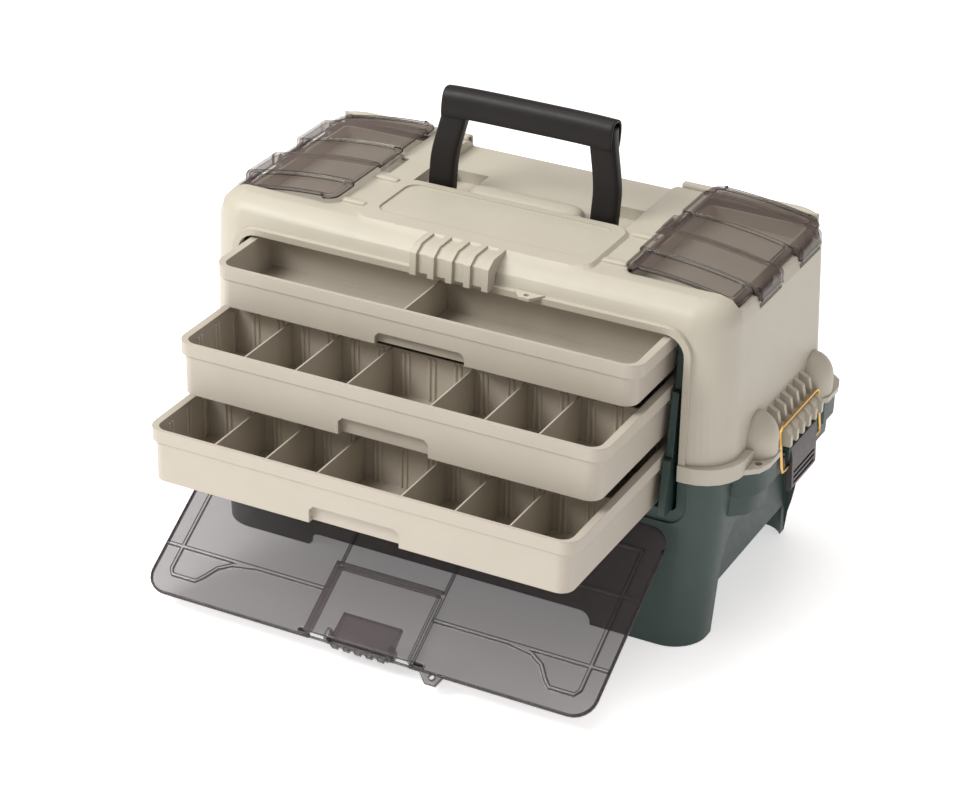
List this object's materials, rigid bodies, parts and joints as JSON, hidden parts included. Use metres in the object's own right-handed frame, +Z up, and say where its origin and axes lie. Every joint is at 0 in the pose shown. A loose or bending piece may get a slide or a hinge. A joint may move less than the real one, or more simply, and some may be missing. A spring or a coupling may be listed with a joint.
{
  "type": "fishing tackle box",
  "caption": "Portable fishing tackle box with a hinged hood, clear-lidded top bins, folding handle, clear fold-down front door, sliding compartment drawers and wire latches.",
  "frame": {"origin": "centre of the bounding box in plan, on the floor under the feet", "axes": "+X along the box to its right, +Y to its back, away from the door, +Z up"},
  "size_m": [0.546, 0.425, 0.406],
  "materials": {
    "green_plastic": "fine moulded texture",
    "beige_plastic": "satin",
    "drawer_plastic": "satin",
    "smoke_plastic": "clear, smoke tinted",
    "black_plastic": "satin",
    "grey_plastic": "satin",
    "brass_wire": "bright",
    "steel_wire": "plated"
  },
  "bodies": {
    "base": {"base": "green_plastic", "carrier_right_top": "green_plastic", "carrier_left_top": "green_plastic", "carrier_right_middle": "green_plastic", "carrier_left_middle": "green_plastic", "carrier_right_bottom": "green_plastic", "carrier_left_bottom": "green_plastic", "hood_hinge_rod": "steel_wire", "door_hinge_rod": "steel_wire", "latch_pin_left": "steel_wire", "latch_pin_right": "steel_wire"},
    "hood": {"hood": "beige_plastic", "bin_left": "beige_plastic", "bin_right": "beige_plastic", "lid_pin_right_front": "steel_wire", "lid_pin_right_rear": "steel_wire", "lid_pin_left_front": "steel_wire", "lid_pin_left_rear": "steel_wire", "handle_pin_left": "steel_wire", "handle_pin_right": "steel_wire"},
    "lid_right": {"lid_right": "smoke_plastic"},
    "lid_left": {"lid_left": "smoke_plastic"},
    "handle": {"handle": "black_plastic"},
    "door": {"front_door": "smoke_plastic", "door_latch_pin": "steel_wire"},
    "door_lever": {"door_latch_lever": "smoke_plastic"},
    "lever_right": {"latch_lever_right": "grey_plastic"},
    "bail_right": {"latch_bail_right": "brass_wire"},
    "lever_left": {"latch_lever_left": "grey_plastic"},
    "bail_left": {"latch_bail_left": "brass_wire"},
    "drawer_top": {"drawer_top": "drawer_plastic", "divider_top_1": "drawer_plastic"},
    "drawer_middle": {"drawer_middle": "drawer_plastic", "divider_middle_1": "drawer_plastic", "divider_middle_2": "drawer_plastic", "divider_middle_3": "drawer_plastic", "divider_middle_4": "drawer_plastic", "divider_middle_5": "drawer_plastic", "divider_middle_6": "drawer_plastic", "divider_middle_rear_1": "drawer_plastic", "divider_middle_rear_2": "drawer_plastic"},
    "drawer_bottom": {"drawer_bottom": "drawer_plastic", "divider_bottom_1": "drawer_plastic", "divider_bottom_2": "drawer_plastic", "divider_bottom_3": "drawer_plastic", "divider_bottom_4": "drawer_plastic", "divider_bottom_5": "drawer_plastic", "divider_bottom_6": "drawer_plastic", "divider_bottom_rear_1": "drawer_plastic", "divider_bottom_rear_2": "drawer_plastic"}
  },
  "joints": [
    {"name": "hood_hinge", "type": "hinge", "parent": "base", "child": "hood", "pos_m": [0, 0.2095, 0.16], "axis": [-1, 0, 0], "range_deg": [0, 95]},
    {"name": "lid_right_hinge", "type": "hinge", "parent": "hood", "child": "lid_right", "pos_m": [0.2435, 0.0975, 0.3], "axis": [0, 1, 0], "range_deg": [0, 100]},
    {"name": "lid_left_hinge", "type": "hinge", "parent": "hood", "child": "lid_left", "pos_m": [-0.2435, 0.0975, 0.3], "axis": [0, -1, 0], "range_deg": [0, 100]},
    {"name": "handle_fold", "type": "hinge", "parent": "hood", "child": "handle", "pos_m": [0, 0.0875, 0.308], "axis": [-1, 0, 0], "range_deg": [-8, 72]},
    {"name": "door_hinge", "type": "hinge", "parent": "base", "child": "door", "pos_m": [0, -0.0495, 0.1145], "axis": [-1, 0, 0], "range_deg": [0, 34]},
    {"name": "door_latch_turn", "type": "hinge", "parent": "door", "child": "door_lever", "pos_m": [0, -0.19719, 0.01876], "axis": [-1, 0, 0], "range_deg": [0, 95]},
    {"name": "latch_right_turn", "type": "hinge", "parent": "base", "child": "lever_right", "pos_m": [0.266, 0.0975, 0.15], "axis": [0, -1, 0], "range_deg": [0, 98]},
    {"name": "bail_right_swing", "type": "hinge", "parent": "lever_right", "child": "bail_right", "pos_m": [0.2688, 0.0975, 0.137], "axis": [0, 1, 0], "range_deg": [0, 138]},
    {"name": "latch_left_turn", "type": "hinge", "parent": "base", "child": "lever_left", "pos_m": [-0.266, 0.0975, 0.15], "axis": [0, 1, 0], "range_deg": [0, 98]},
    {"name": "bail_left_swing", "type": "hinge", "parent": "lever_left", "child": "bail_left", "pos_m": [-0.2688, 0.0975, 0.137], "axis": [0, -1, 0], "range_deg": [0, 138]},
    {"name": "drawer_top_slide", "type": "slide", "parent": "base", "child": "drawer_top", "axis": [0, -1, 0], "range_m": [-0.066, 0.11]},
    {"name": "drawer_middle_slide", "type": "slide", "parent": "base", "child": "drawer_middle", "axis": [0, -1, 0], "range_m": [-0.1275, 0.0485]},
    {"name": "drawer_bottom_slide", "type": "slide", "parent": "base", "child": "drawer_bottom", "axis": [0, -1, 0], "range_m": [-0.176, 0]}
  ],
  "couplings": [
    {"joint": "bail_right_swing", "follows": "latch_right_turn", "ratio": 1.4},
    {"joint": "bail_left_swing", "follows": "latch_left_turn", "ratio": 1.4}
  ]
}
